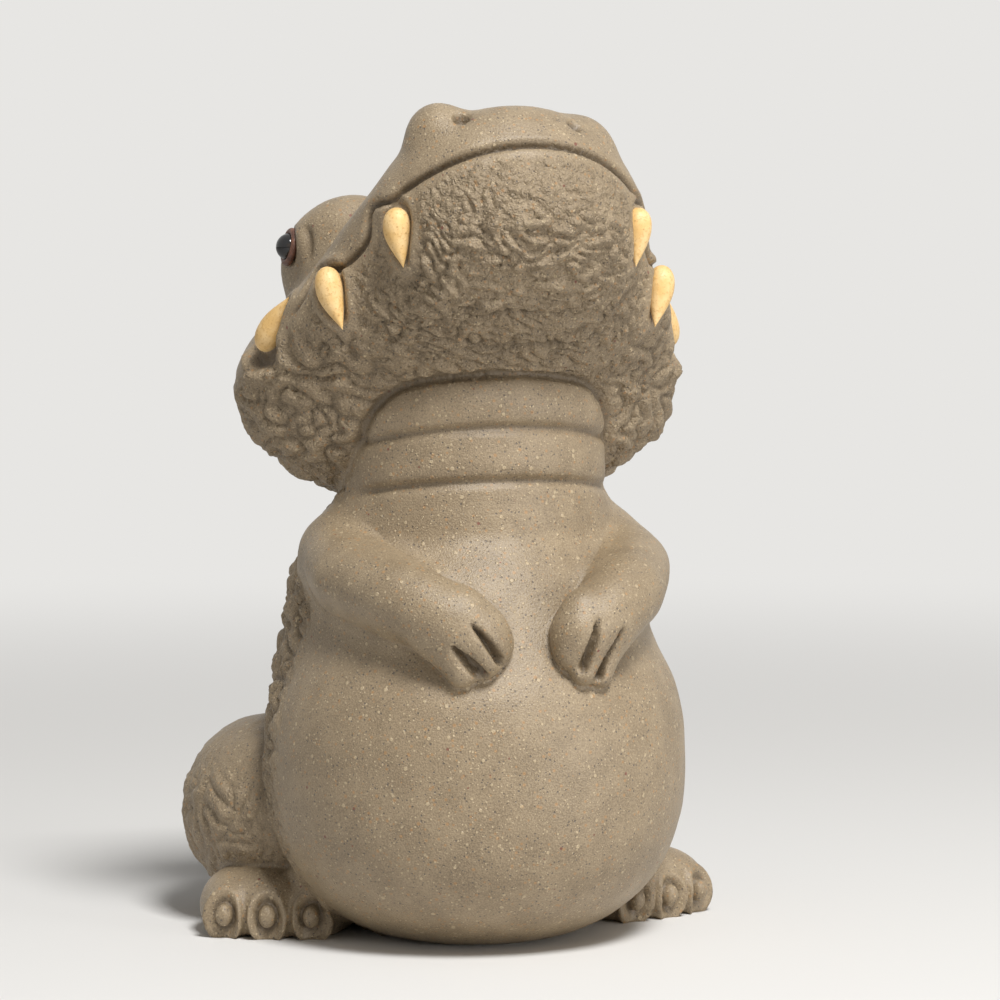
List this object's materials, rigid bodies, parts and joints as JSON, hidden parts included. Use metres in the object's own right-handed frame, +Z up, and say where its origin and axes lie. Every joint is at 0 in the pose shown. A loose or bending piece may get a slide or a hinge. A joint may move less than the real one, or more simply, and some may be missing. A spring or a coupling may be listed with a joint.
{
  "type": "clay crocodile tea pet",
  "caption": "Small hollow stoneware figurine of a crocodile sitting upright on its round belly, head thrown back, hands on its belly, with inset clay teeth and glazed bead eyes.",
  "frame": {"origin": "on the ground under the middle of the figure's box", "axes": "+Z up; -Y to the figure's front, where its belly and face are; +X to the figure's own left"},
  "size_m": [0.0548, 0.0638, 0.0853],
  "materials": {
    "stoneware": "unglazed speckled clay, satin",
    "yellow_clay": "unglazed yellow clay, satin",
    "brown_clay": "unglazed red-brown clay, satin",
    "black_glaze": "black glaze, glossy"
  },
  "bodies": {
    "root": {"body": "stoneware", "tooth_front_left": "yellow_clay", "tooth_front_right": "yellow_clay", "tooth_middle_left": "yellow_clay", "tooth_middle_right": "yellow_clay", "tooth_back_left": "yellow_clay", "tooth_back_right": "yellow_clay", "eye_ring_left": "brown_clay", "eye_ring_right": "brown_clay", "eye_bead_left": "black_glaze", "eye_bead_right": "black_glaze"}
  },
  "joints": []
}
